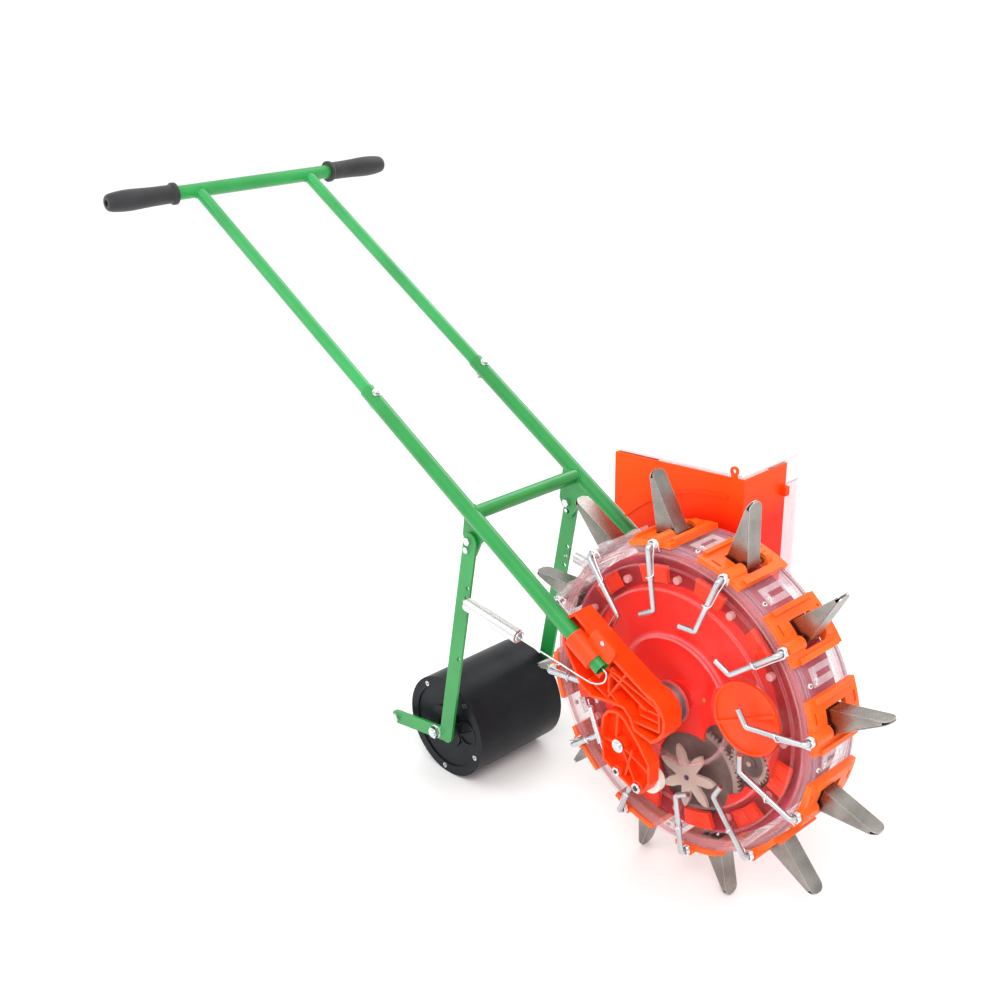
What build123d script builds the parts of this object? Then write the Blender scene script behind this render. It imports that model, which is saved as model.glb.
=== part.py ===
from build123d import *
import math
import os

# Push seeder with a ring of twelve opening beaks.  Millimetres, X forward, Y to the
# machine's left, Z up.  Everything is drawn about the axle and moved to the row frame,
# whose origin is on the ground under the middle of the machine.

# overall layout
AXLE_X = 332.4
AXLE_Z = 281.1
HALF_WIDTH = 259.0
SLOPE = 30.0
TUBE_Y = 103.0
TUBE_END = (-66.7, 42.2)
TUBE_LENGTH = 998.0
SLEEVE_AT = 528.0
SLEEVE_LAP = 55.0
BRACE_AT = 277.5

# tubing
LOWER_R = 11.0
UPPER_R = 9.4
BAR_R = 11.0
WALL = 1.5
GRIP_R = 14.5
GRIP_LENGTH = 115.0
GRIP_COLLAR_R = 17.0

# beak wheel
BEAKS = 12
FIRST_TIP = 15.0
TIP_R = 291.0
BEAK_HALF = 12.0
BEAK_ROUND = 10.0
BEAK_SLANT = 16.7
SHEET = 1.2
DRUM_R = 205.0
RIM_WALL = 5.0
COVER_OUT = -42.0
COVER_IN = -38.0
LEFT_IN = 46.0
LEFT_OUT = 50.0
PIN_R = 210.0
PIN_BACK = 5.2
ROD_R = 3.75
FIT = 0.05
LEVER_Y = -59.0
ELBOW = (126.1, -9.5)
LEVER_TIP = (119.3, 13.2)
BARREL_R = 6.0
CLEAR_BASES = (4, 5)
AXLE_R = 8.0
NECK_R = 60.0

# cleanout cap in the right cover
CAP_R = 48.0
CAP_HOLE_R = 42.0
CAP_AT_R = 117.0
CAP_ANGLE = 12.0
CAP_RIB = 28.0

# seed case and gears
CASE_R = 188.0
CASE_FRONT = -24.0
CASE_WALL = 4.0
CASE_BACK = 42.0
MODULE = 2.0
STAR_X = 22.0
STAR_Z = -108.0
STAR_POINTS = 7
STAR_TIP_R = 45.5
STAR_TEETH = 70
FEED_TEETH = 28
MESH_ANGLE = 32.4
GEAR_FRONT = -19.3
GEAR_BACK = -14.8
POST_R = 3.0
PEG_AT_R = 163.0
PEG_R = 5.0
CUP_IN = 156.0
CUP_OUT = 178.0
CUP_HALF_ANGLE = 7.3

# side arms and trip gear
ARM_OUT = 100.0
ARM_IN = 68.0
AXLE_END = 82.0
PIVOT_X = -38.5
PIVOT_Z = -58.3
TRIP_X = -6.0
TRIP_Z = -106.0
TRIP_R = 18.0
TRIP_SCREW = (-41.0, -98.0)

# press wheel
LEG_Y = 99.0
LEG_T = 4.0
LEG_W = 25.0
LEG_TOP = (-318.8, 137.2)
LEG_START = (-315.8, 137.2)
LEG_CORNER = (-381.3, -199.0)
LEG_HOLES = (74.0, 90.5, 106.5, 197.5)
LEG_HOLE_SIDE = 7.0
ROLLER_AT = (-401.3, -201.0)
ROLLER_R = 80.1
ROLLER_HALF = 83.0
ROLLER_AXLE_R = 6.0
PLUG_R = 20.0
PLUG_AT = (47.0, 8.0)
STOP_DROP = 14.0
LEG_LEAN = 11.0

# hopper
HOPPER_Y0 = 60.0
HOPPER_Y1 = 147.0
TANK_Y1 = 178.0
HOPPER_WALL = 3.0
LID_PIN_R = 1.5
LID_PIN_Y = 181.4
LID_PIN_Z = 244.0


def polar(radius, degrees):
    angle = math.radians(degrees)
    return (radius * math.cos(angle), radius * math.sin(angle))


def slab(sketch, y0, y1):
    """Side view sketch (x forward, y up) given depth between two y stations."""
    side = Plane(origin=(0, y1, 0), x_dir=(1, 0, 0), z_dir=(0, -1, 0))
    return extrude(side * sketch, y1 - y0, dir=(0, -1, 0))


def disc(radius, y0, y1, x=0.0, z=0.0):
    return slab(Pos(x, z) * Circle(radius), y0, y1)


def ring(outer, inner, y0, y1, x=0.0, z=0.0):
    return slab(Pos(x, z) * (Circle(outer) - Circle(inner)), y0, y1)


def outline(points, y0, y1):
    return slab(Polygon(*points, align=None), y0, y1)


def wedge(r0, r1, a0, a1):
    """Part of a flat ring between two angles under 90 degrees apart."""
    middle = (a0 + a1) / 2
    reach = 2 * r1
    cut = Polygon((0, 0), polar(reach, a0), polar(reach, middle), polar(reach, a1), align=None)
    return (Circle(r1) - Circle(r0)) & cut


def turned(shape, degrees):
    """Turn about the axle, counter-clockwise seen from the machine's right."""
    return Rot(0, -degrees, 0) * shape


def bar_between(start, end, width, y0, y1):
    """Flat bar with round ends in the side view."""
    dx = end[0] - start[0]
    dz = end[1] - start[1]
    length = math.hypot(dx, dz)
    angle = math.degrees(math.atan2(dz, dx))
    middle = ((start[0] + end[0]) / 2, (start[1] + end[1]) / 2)
    shape = Pos(*middle) * Rot(0, 0, angle) * SlotCenterToCenter(length, width)
    return slab(shape, y0, y1)


def along_tube(distance, side, lift=0.0):
    """Point on a handle tube's axis, a distance up from its lower end."""
    angle = math.radians(SLOPE)
    x = TUBE_END[0] - distance * math.cos(angle) + lift * math.sin(angle)
    z = TUBE_END[1] + distance * math.sin(angle) + lift * math.cos(angle)
    return (x, side * TUBE_Y, z)


def tube_plane(distance, side):
    """Plane square to a handle tube, normal pointing up the tube."""
    angle = math.radians(SLOPE)
    return Plane(origin=along_tube(distance, side), x_dir=(0, 1, 0),
                 z_dir=(-math.cos(angle), 0, math.sin(angle)))


def cylinder_from(plane, radius, length):
    return extrude(plane * Circle(radius), length)


def hexagon(across_flats, y0, y1, x=0.0, z=0.0):
    radius = across_flats / math.sqrt(3)
    return slab(Pos(x, z) * RegularPolygon(radius, 6), y0, y1)


def export(name, shape):
    placed = Pos(AXLE_X, 0, AXLE_Z) * shape
    placed.label = name
    export_step(placed, "parts/" + name + ".step")


def group(shapes):
    return Compound(children=list(shapes))


# ---------------------------------------------------------------- handle
def handle_bar():
    top = along_tube(TUBE_LENGTH, 1)
    reach = HALF_WIDTH - 4
    bar = disc(BAR_R, -reach, reach, top[0], top[2])
    return bar - disc(BAR_R - WALL, -reach, reach, top[0], top[2])


def grip(side):
    """Rubber sleeve: thick inner collar, a slight swell, and a rounded end with a vent hole."""
    top = along_tube(TUBE_LENGTH, 1)
    inner = HALF_WIDTH - GRIP_LENGTH
    bar_end = HALF_WIDTH - 4
    start = (GRIP_R - 0.3, inner + 8)
    crown = (8, HALF_WIDTH)
    swell = Spline(start, (GRIP_R + 0.7, inner + 55), (GRIP_R, HALF_WIDTH - 12), crown,
                   tangents=((0, 1), (-1, 0)))
    rest = Polyline(crown, (5, HALF_WIDTH), (5, bar_end), (BAR_R, bar_end), (BAR_R, inner),
                    (GRIP_COLLAR_R, inner), (GRIP_COLLAR_R, inner + 5), start)
    body = Pos(top[0], 0, top[2]) * revolve(make_face([swell, rest]), Axis.Y)
    return body if side > 0 else mirror(body, Plane.XZ)


def upper_tube(side):
    start = SLEEVE_AT - SLEEVE_LAP
    plane = tube_plane(start, side)
    length = TUBE_LENGTH - start
    tube = cylinder_from(plane, UPPER_R, length) - cylinder_from(plane, UPPER_R - WALL, length)
    top = along_tube(TUBE_LENGTH, 1)
    tube -= disc(BAR_R, -HALF_WIDTH, HALF_WIDTH, top[0], top[2])
    return tube - bolt_hole(side)


def bolt_hole(side):
    x, y, z = along_tube(SLEEVE_AT - 18, side)
    return Pos(x, y, z) * Rot(0, SLOPE, 0) * Cylinder(3.2, 4 * LOWER_R)


def handle_bolts():
    parts = []
    for side in (-1, 1):
        x, y, z = along_tube(SLEEVE_AT - 18, side)
        frame = Pos(x, y, z) * Rot(0, SLOPE, 0)
        head = Pos(0, 0, LOWER_R + 2.2) * extrude(RegularPolygon(5.8, 6), 4)
        washer = Pos(0, 0, LOWER_R + 1.1) * Cylinder(6.5, 2.2)
        shank = Pos(0, 0, 0) * Cylinder(3, 2 * LOWER_R + 14)
        nut = Pos(0, 0, -LOWER_R - 5) * extrude(RegularPolygon(5.8, 6) - Circle(3), 5)
        parts.append(frame * (head + washer + shank))
        parts.append(frame * nut)
    return group(parts)


def lower_tube(side):
    plane = tube_plane(0, side)
    tube = cylinder_from(plane, LOWER_R, SLEEVE_AT) - cylinder_from(plane, LOWER_R - WALL, SLEEVE_AT)
    return tube - bolt_hole(side)


def brace_tube():
    x, _, z = along_tube(BRACE_AT, 1)
    tube = disc(BAR_R - 1, -TUBE_Y, TUBE_Y, x, z) - disc(BAR_R - 2.5, -TUBE_Y, TUBE_Y, x, z)
    for side in (-1, 1):
        tube -= cylinder_from(tube_plane(0, side), LOWER_R, SLEEVE_AT)
    return tube


def leg_tabs():
    """Plates welded under the tubes: pivot hole, and an arc slot for the stop bolt."""
    x, z = LEG_TOP
    brace_x, _, brace_z = along_tube(BRACE_AT, 1)
    tabs = []
    for side in (-1, 1):
        shape = Polygon((x - 16, z + 4), (x - 4, z - 22), (x + 8, z - 22), (x + 18, z - 2),
                        (x + 46, z + 30), (x - 8, z + 61), align=None)
        y1 = LEG_Y - LEG_T / 2 - 0.8
        y0 = y1 - 4
        tab = slab(shape, y0, y1) - disc(BAR_R - 1, y0, y1, brace_x, brace_z)
        tab -= disc(4 + FIT, y0, y1, x, z)
        for step in range(-7, 12):
            angle = math.radians(LEG_LEAN + 2 * step)
            tab -= disc(3.5, y0, y1, x - STOP_DROP * math.sin(angle), z - STOP_DROP * math.cos(angle))
        if side < 0:
            tab = mirror(tab, Plane.XZ)
        tab -= cylinder_from(tube_plane(0, side), LOWER_R, SLEEVE_AT)
        tabs.append(tab.solids().sort_by(SortBy.VOLUME)[-1])
    return group(tabs)


# ---------------------------------------------------------------- side arms
ARM_SHAPE = [(-140, 50), (-138, 86), (-120, 101), (-62, 67), (0, 36), (16, 31), (28, 21), (34, 8),
             (34, -10), (26, -23), (14, -33), (-16, -27), (-24, -12), (-34, -3), (-54, -4),
             (-88, -10), (-108, 0)]
LOBE_SHAPE = [(-72, 0), (-58, -64), (-40, -76), (-22, -62), (-22, -20)]


def arm_ribs():
    ribs = [((-70, 40), (0, 8)), ((-62, 2), (-30, 50)), ((-30, 50), (20, 14)), ((-96, 12), (-20, -20))]
    total = None
    for start, end in ribs:
        piece = bar_between(start, end, 3, ARM_IN, ARM_OUT - 4)
        total = piece if total is None else total + piece
    return total


def side_arm(side):
    face = Polygon(*ARM_SHAPE, align=None)
    solid = slab(face, ARM_IN, ARM_OUT)
    inner = offset(face, -4)
    arm = solid - slab(inner, ARM_IN + 5, ARM_OUT)
    arm += arm_ribs() & slab(face, ARM_IN, ARM_OUT)
    lobe = outline(LOBE_SHAPE, ARM_IN, ARM_IN + 6)
    if side < 0:
        arm += lobe
        arm -= disc(4, ARM_IN, ARM_OUT, PIVOT_X, PIVOT_Z)
    hub = Polygon((-60, 40), (20, 16), (22, -12), (-18, -14), (-60, 10), align=None)
    loop = offset(hub, 3, kind=Kind.ARC) - hub
    arm += slab(loop & face, ARM_IN, ARM_OUT - 3)
    arm += disc(22, ARM_IN, AXLE_END + 2)
    for lift in (-5, 6):
        arm += slab(Pos(4, lift) * Rectangle(34, 2.4), AXLE_END, ARM_OUT - 8)
    arm -= disc(AXLE_R, ARM_IN, AXLE_END)
    seat = (Pos(-85, 60) * Rot(0, 0, 90 - SLOPE) * Rectangle(58, 52))
    arm += slab(seat & face, ARM_IN, ARM_OUT - 2)
    if side < 0:
        arm = mirror(arm, Plane.XZ)
    arm -= cylinder_from(tube_plane(-12, side), LOWER_R, SLEEVE_AT)
    return arm.solids().sort_by(SortBy.VOLUME)[-1]


def tube_clamps():
    parts = []
    for side in (-1, 1):
        sleeve = cylinder_from(tube_plane(14, side), LOWER_R + 4.5, 42)
        sleeve -= cylinder_from(tube_plane(14, side), LOWER_R, 42)
        outer = Box(400, 40, 400, align=(Align.CENTER, Align.MIN, Align.CENTER))
        outer = Pos(0, ARM_OUT, 0) * outer
        ear = slab(Pos(-68, 73) * Rot(0, 0, -SLOPE) * RectangleRounded(42, 26, 6), ARM_OUT, ARM_OUT + 4)
        if side < 0:
            outer = mirror(outer, Plane.XZ)
            ear = mirror(ear, Plane.XZ)
        ear -= cylinder_from(tube_plane(14, side), LOWER_R + 1, 42)
        clamp = (sleeve & outer) + ear
        parts.append(clamp.solids().sort_by(SortBy.VOLUME)[-1])
    return group(parts)


def arm_fasteners():
    """Clamp screws on both sides and the pivot bolt of the trip bracket."""
    parts = []
    for side in (-1, 1):
        screw = disc(3.2, ARM_OUT + 4, ARM_OUT + 6, -65, 80)
        parts.append(screw if side > 0 else mirror(screw, Plane.XZ))
    pivot = disc(4, -102, -ARM_IN, PIVOT_X, PIVOT_Z)
    pivot += disc(9, -104, -102, PIVOT_X, PIVOT_Z)
    pivot += disc(5.5, -107, -104, PIVOT_X, PIVOT_Z)
    parts.append(pivot)
    return group(parts)


def axle():
    return disc(AXLE_R, -AXLE_END, AXLE_END)


def hub_collars():
    """Spacer rings between the wheel hub and the arms."""
    right = ring(29, AXLE_R, -52, -47) + ring(18, AXLE_R, -ARM_IN, -52) + ring(26, AXLE_R, -62, -57)
    left = ring(18, AXLE_R, CASE_BACK + 14, ARM_IN)
    return group([right, left])


# ---------------------------------------------------------------- trip gear
TRIP_SHAPE = [(-50, -12), (-61, -17), (-69, -29), (-71, -52), (-67, -92), (-48, -102), (-19, -113),
              (-4, -116), (6, -108), (13, -94), (12, -66), (-6, -42), (-30, -17), (-40, -12)]


def trip_bracket():
    face = Polygon(*TRIP_SHAPE, align=None)
    solid = slab(face, -100, -82)
    body = solid - slab(offset(face, -3.5), -100, -86)
    ribs = [((-45, -16), (-47, -50)), ((-38, -60), (8, -80)), ((-38, -60), (-12, -108)),
            ((-66, -62), (-38, -60)), ((-20, -60), (-30, -100))]
    for start, end in ribs:
        body += bar_between(start, end, 3, -97, -84) & solid
    body += disc(10, -100, -76, PIVOT_X, PIVOT_Z)
    body += disc(8, -100, -82, TRIP_X, TRIP_Z)
    body += disc(7, -100, -82, *TRIP_SCREW)
    body -= disc(4 + FIT, -101, -75, PIVOT_X, PIVOT_Z)
    body -= disc(4, -101, -81, TRIP_X, TRIP_Z)
    return body - disc(3, -101, -81, *TRIP_SCREW)


def trip_fasteners():
    """Shaft the roller turns on, its nut, and a second screw with its nut."""
    shaft = disc(4, -105, -65, TRIP_X, TRIP_Z) + hexagon(13, -104, -100, TRIP_X, TRIP_Z)
    screw = disc(3, -104, -82, *TRIP_SCREW) + hexagon(11, -103.5, -100, *TRIP_SCREW)
    return group([shaft, screw])


def trip_roller():
    roller = disc(TRIP_R, -80, -66, TRIP_X, TRIP_Z)
    roller = fillet(roller.edges(), 2)
    return roller - disc(4 + FIT, -81, -65, TRIP_X, TRIP_Z)


def wire(points, radius, bend=2.0):
    path = FilletPolyline(*points, radius=bend)
    start = Plane(origin=path @ 0, z_dir=path % 0)
    return sweep(start * Circle(radius), path=path)


def trip_spring():
    top = Vector(-90, -104, -12)
    low = Vector(-64, -104, -74)
    run = (low - top).normalized()
    body = cylinder_from(Plane(origin=top + run * 10, z_dir=run), 4, (low - top).length - 20)
    hooks = cylinder_from(Plane(origin=top, z_dir=run), 0.8, 10)
    hooks += cylinder_from(Plane(origin=low - run * 10, z_dir=run), 0.8, 10)
    return body + hooks


# ---------------------------------------------------------------- seed case and gears
GEAR_REACH = MODULE * (STAR_TEETH + FEED_TEETH) / 2
FEED_X = STAR_X + polar(GEAR_REACH, MESH_ANGLE)[0]
FEED_Z = STAR_Z + polar(GEAR_REACH, MESH_ANGLE)[1]
FEED_TURN = MESH_ANGLE + 180 + 180 / FEED_TEETH


def wavy_window():
    """Opening low in the case front that shows the gear train."""
    lobes = [(STAR_X, STAR_Z, 57), (66, -48, 30), (FEED_X, FEED_Z, 33), (68, -78, 36)]
    total = None
    for x, z, radius in lobes:
        piece = Pos(x, z) * Circle(radius)
        total = piece if total is None else total + piece
    return total


def seed_case():
    body = disc(CASE_R, CASE_FRONT, CASE_BACK)
    body -= disc(CASE_R - CASE_WALL, CASE_FRONT + CASE_WALL, CASE_BACK - CASE_WALL)
    body -= slab(wavy_window() - Circle(30), CASE_FRONT, CASE_FRONT + CASE_WALL)
    body += disc(NECK_R, CASE_BACK, CASE_BACK + 12)
    body += disc(20, -30, CASE_BACK + 12)
    back_plate = ring(CASE_R - 1, 15, -14, -10)
    body += back_plate
    for x, z, reach in ((STAR_X, STAR_Z, -37), (FEED_X, FEED_Z, -20.5)):
        body += disc(POST_R, reach, -10, x, z)
        body += disc(6, GEAR_BACK + 0.6, -10, x, z)
    body -= disc(AXLE_R, -40, 80)
    body -= slab(Pos(-8, 38) * Rectangle(30, 26), CASE_BACK - CASE_WALL - 1, CASE_BACK + 20)
    body -= slab(wedge(CASE_R - 20, CASE_R + 20, -112, -68), -8, CASE_BACK - CASE_WALL)
    return body


def gear(teeth, bore, turn, y0, y1, x, z):
    """Involute spur gear; turn is the angle of one tooth's centre line."""
    pitch = MODULE * teeth / 2
    pressure = math.radians(20)
    base = pitch * math.cos(pressure)
    tip = pitch + 0.85 * MODULE
    root = pitch - 1.25 * MODULE
    half_pitch = (math.pi * MODULE / 4 - 0.18) / pitch
    involute = math.tan(pressure) - pressure

    def half(radius):
        if radius <= base:
            return half_pitch + involute
        angle = math.acos(base / radius)
        return half_pitch + involute - (math.tan(angle) - angle)

    radii = [root] + [max(base, root) + (tip - max(base, root)) * i / 4 for i in range(5)]
    points = []
    for tooth in range(teeth):
        centre = turn + 360 * tooth / teeth
        rising = [polar(r, centre - math.degrees(half(r))) for r in radii]
        falling = [polar(r, centre + math.degrees(half(r))) for r in reversed(radii)]
        points += rising + falling
    profile = Polygon(*points, align=None) - Circle(bore)
    return slab(Pos(x, z) * profile, y0, y1)


def star_wheel():
    """Seven pointed petals, widest past their middles."""
    pitch = 360 / STAR_POINTS
    points = []
    for point in range(STAR_POINTS):
        centre = 114 + pitch * point
        points += [polar(17, centre - pitch / 2), polar(24, centre - 17), polar(33, centre - 13),
                   polar(STAR_TIP_R - 5, centre - 7), polar(STAR_TIP_R, centre),
                   polar(STAR_TIP_R - 5, centre + 5), polar(33, centre + 11), polar(24, centre + 15)]
    profile = Polygon(*points, align=None) - Circle(POST_R + FIT)
    return slab(Pos(STAR_X, STAR_Z) * profile, -36.5, -32)


def star_gear():
    """Large gear behind the case front, its hub reaching through the window to the star."""
    body = gear(STAR_TEETH, POST_R + FIT, MESH_ANGLE, GEAR_FRONT, GEAR_BACK, STAR_X, STAR_Z)
    body -= ring(61, 14, GEAR_FRONT, GEAR_FRONT + 2, STAR_X, STAR_Z)
    return body + ring(9, POST_R + FIT, -32, GEAR_FRONT, STAR_X, STAR_Z)


def feed_gear():
    body = gear(FEED_TEETH, POST_R + FIT, FEED_TURN, GEAR_FRONT, GEAR_BACK, FEED_X, FEED_Z)
    return body - ring(21, 9, GEAR_FRONT, GEAR_FRONT + 1.5, FEED_X, FEED_Z)


# ---------------------------------------------------------------- beak wheel
def drum_cover_right():
    cap_x, cap_z = polar(CAP_AT_R, CAP_ANGLE)
    body = disc(DRUM_R, COVER_OUT, COVER_IN)
    body += ring(88, 84, COVER_OUT - 4, COVER_OUT)
    body += ring(DRUM_R - 8, DRUM_R - 11, COVER_OUT - 2, COVER_OUT)
    body += disc(20, COVER_OUT - 4.5, COVER_OUT)
    body -= disc(CAP_R + 3, COVER_OUT - 6, COVER_OUT, cap_x, cap_z)
    body += ring(CAP_R + 5, CAP_R + 2, COVER_OUT - 3, COVER_OUT, cap_x, cap_z)
    body -= disc(CAP_HOLE_R, COVER_OUT - 6, COVER_IN, cap_x, cap_z)
    body -= disc(AXLE_R + FIT, COVER_OUT - 6, COVER_IN)
    return body


def drum_cover_left():
    body = ring(DRUM_R, NECK_R + 0.08, LEFT_IN, LEFT_OUT)
    return body + ring(DRUM_R - 8, DRUM_R - 11, LEFT_OUT, LEFT_OUT + 2)


def drum_rim():
    body = ring(DRUM_R, DRUM_R - RIM_WALL, COVER_IN, LEFT_IN)
    window = slab(wedge(DRUM_R - 12, DRUM_R + 12, -8, 5.2), -20, 28)
    for index in range(BEAKS):
        angle = FIRST_TIP + 30 * index
        body -= turned(window, angle)
        for station in (-36, -32, 40):
            rib = slab(wedge(DRUM_R - 1, DRUM_R + 1.5, 8, 18), station, station + 1.5)
            body += turned(rib, angle)
    return body


def nozzle_base():
    """Orange saddle at tip angle zero: X is outward, Z runs round the rim."""
    pin = polar(PIN_R, -PIN_BACK)
    body = slab(wedge(DRUM_R, DRUM_R + 7, -11.2, 7.3), COVER_OUT - 2, LEFT_OUT - 1)
    body += slab(wedge(DRUM_R + 7, DRUM_R + 11, -11.2, -9.4), -34, 38)
    body += slab(wedge(DRUM_R + 7, DRUM_R + 11, 5.6, 7.3), -34, 38)
    body += disc(9, -46, -16, *pin) + disc(9, 24, 34, *pin)
    body += slab(wedge(DRUM_R - 3, DRUM_R + 8, -9.2, -4), -44, -16)
    body -= slab(wedge(DRUM_R - 12, DRUM_R + 20, -8, 2.4), -16, 24)
    body -= disc(ROD_R + FIT, -60, 40, *pin)
    body &= ring(DRUM_R + 20, DRUM_R, -60, 60)
    for station in (-38, 40):
        body -= slab(wedge(DRUM_R + 4, DRUM_R + 12, -1, 3), station, station + 4)
    return body.solids().sort_by(SortBy.VOLUME)[-1]


def beak_plate(start, end, side):
    """Strip of sheet with a rounded end; its outer face runs from start to end."""
    run = Vector(end[0] - start[0], 0, end[1] - start[1])
    along = run.normalized()
    plane = Plane(origin=(start[0], 0, start[1]), x_dir=along,
                  z_dir=Vector(-along.Z, 0, along.X) * side)
    strip = Pos(run.length / 2, 0) * Rectangle(run.length, 2 * BEAK_HALF)
    strip = fillet(strip.vertices().sort_by(Axis.X)[-2:], BEAK_ROUND)
    return extrude(plane * strip, SHEET)


def fixed_beak():
    """Spout of a back and two cheeks, open toward the moving beak."""
    back = beak_plate((DRUM_R + 1, 7.6), (TIP_R - 0.4, 2.4), -1)
    pin_x, pin_z = polar(PIN_R, -PIN_BACK)
    cheek = [(DRUM_R + 1, 7.4), (DRUM_R + 1, pin_z + 8), (pin_x, pin_z + 7.5), (pin_x + 7.4, pin_z + 5),
             (pin_x + 7.4, pin_z - 2.1), (TIP_R - 9, -1.5), (TIP_R - 9, 2.2)]
    body = back
    for side in (-1, 1):
        y0, y1 = sorted((side * BEAK_HALF, side * (BEAK_HALF - SHEET)))
        body += outline(cheek, y0, y1)
    return body.solids().sort_by(SortBy.VOLUME)[-1]


def beak_opener():
    """Moving beak rolled round its rod, the bent rod that works it, and a wire loop."""
    pin_x, pin_z = polar(PIN_R, -PIN_BACK)
    rise, fall = polar(BARREL_R, BEAK_SLANT)
    start = (pin_x + fall, pin_z - rise)
    reach = (TIP_R - 0.4 - start[0]) / math.cos(math.radians(BEAK_SLANT))
    step = polar(reach, BEAK_SLANT)
    sheet = beak_plate(start, (start[0] + step[0], start[1] + step[1]), 1)
    barrel = disc(BARREL_R, -BEAK_HALF, BEAK_HALF, pin_x, pin_z)
    bore = disc(ROD_R, -60, 60, pin_x, pin_z)
    beak = (sheet + barrel) - bore
    elbow = (ELBOW[0], LEVER_Y, ELBOW[1])
    tip = (LEVER_TIP[0], LEVER_Y - 1, LEVER_TIP[1])
    rod = wire([(pin_x, 33, pin_z), (pin_x, LEVER_Y, pin_z), elbow, tip], ROD_R, 5)
    half = Vector(ELBOW[0] - pin_x, 0, ELBOW[1] - pin_z)
    middle = Vector(pin_x, LEVER_Y, pin_z) + half * 0.47
    plane = Plane(origin=middle, z_dir=half.normalized())
    loop = extrude(plane * (Circle(ROD_R + 1.3) - Circle(ROD_R)), 2.4)
    return [beak.solids().sort_by(SortBy.VOLUME)[-1], rod, loop]


def seed_cups():
    """A pocket per beak on the cover's inner face; the cleanout hole takes the place of the first."""
    cups = []
    for index in range(1, BEAKS):
        cup = slab(wedge(CUP_IN, CUP_OUT, -CUP_HALF_ANGLE, CUP_HALF_ANGLE), COVER_IN, -31.6)
        for middle in (-CUP_HALF_ANGLE / 2, CUP_HALF_ANGLE / 2):
            cup -= slab(wedge(CUP_IN + 3, CUP_OUT - 3, middle - 2.6, middle + 2.6), COVER_IN + 2, -31.6)
        cups.append(turned(cup, FIRST_TIP + 30 * index))
    return group(cups)


def drive_pegs():
    pegs = []
    for index in range(BEAKS):
        x, z = polar(PEG_AT_R, FIRST_TIP - 12.5 + 30 * index)
        pegs.append(disc(PEG_R, COVER_IN, -32, x, z))
    return group(pegs)


def metering_slides():
    slides = []
    for index in range(BEAKS):
        slide = slab(wedge(DRUM_R, DRUM_R + 1.2, 9.6, 16.2), -18, 27)
        slide -= slab(wedge(DRUM_R - 1, DRUM_R + 4, 12, 14), -8, 18)
        slides.append(turned(slide, FIRST_TIP + 30 * index))
    return group(slides)


def rim_screws():
    screws = []
    for index in range(BEAKS):
        x, z = polar(DRUM_R, FIRST_TIP + 30 * index + 11)
        outward = Vector(x, 0, z).normalized()
        plane = Plane(origin=(x, -25, z), z_dir=outward)
        screws.append(extrude(plane * Circle(3), 2))
    return group(screws)


def return_springs():
    pin = polar(PIN_R, -PIN_BACK)
    coil = ring(ROD_R + 3.2, ROD_R + 0.55, -53.5, -46.5, *pin)
    return group([turned(coil, FIRST_TIP + 30 * index) for index in range(BEAKS)])


def cleanout_cap():
    x, z = polar(CAP_AT_R, CAP_ANGLE)
    body = disc(CAP_R, COVER_OUT - 3, COVER_OUT, x, z)
    body += ring(CAP_R, CAP_R - 3, COVER_OUT - 5, COVER_OUT, x, z)
    body += ring(CAP_HOLE_R - FIT, CAP_HOLE_R - 4, COVER_OUT, COVER_IN, x, z)
    rib = Pos(x, z) * Rot(0, 0, CAP_RIB) * Rectangle(2 * CAP_R - 4, 4)
    return body + slab(rib, COVER_OUT - 7, COVER_OUT - 2)


# ---------------------------------------------------------------- hopper
HOPPER_SHAPE = [(-198, 256), (-198, 182), (-38, 90), (15, 90), (15, 273)]


def hopper_shell():
    face = Polygon(*HOPPER_SHAPE, align=None)
    body = slab(face, HOPPER_Y0, HOPPER_Y1)
    body -= slab(offset(face, -HOPPER_WALL), HOPPER_Y0 + HOPPER_WALL, HOPPER_Y1)
    open_top = Polygon((-195, 250), (-195, 300), (12, 300), (12, 250), align=None)
    body -= slab(open_top, HOPPER_Y0 + HOPPER_WALL, HOPPER_Y1)
    arch = slab(wedge(243, 247, 92, 138), HOPPER_Y0 - 2, HOPPER_Y0)
    body += arch & slab(face, HOPPER_Y0 - 2, HOPPER_Y0)
    chute = slab(Pos(-8, 60) * Rectangle(30, 70), CASE_BACK + 12, ARM_IN - 1)
    chute += slab(Pos(-8, 91) * Rectangle(30, 8), CASE_BACK + 12, HOPPER_Y0 + 1)
    chute -= slab(Pos(-8, 62) * Rectangle(24, 68), CASE_BACK + 13.5, ARM_IN - 2.5)
    chute -= slab(Pos(-8, 38) * Rectangle(24, 20), CASE_BACK + 12, CASE_BACK + 14)
    body += chute
    body -= slab(Pos(-8, 90) * Rectangle(24, 12), HOPPER_Y0, ARM_IN - 2.5)
    lug = Pos(15, HOPPER_Y1 - 6, 238) * Box(16, 8, 12)
    body += lug
    eyelet = slab(Pos(-2, 281) * Circle(6), HOPPER_Y0, HOPPER_Y0 + 3)
    eyelet += slab(Pos(-2, 272) * Rectangle(8, 12), HOPPER_Y0, HOPPER_Y0 + 3)
    return body + eyelet - disc(3, HOPPER_Y0, HOPPER_Y0 + 3, -2, 281)


def lid_rod(x0, x1, radius):
    plane = Plane(origin=(x0, LID_PIN_Y, LID_PIN_Z), z_dir=(1, 0, 0))
    return cylinder_from(plane, radius, x1 - x0)


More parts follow.
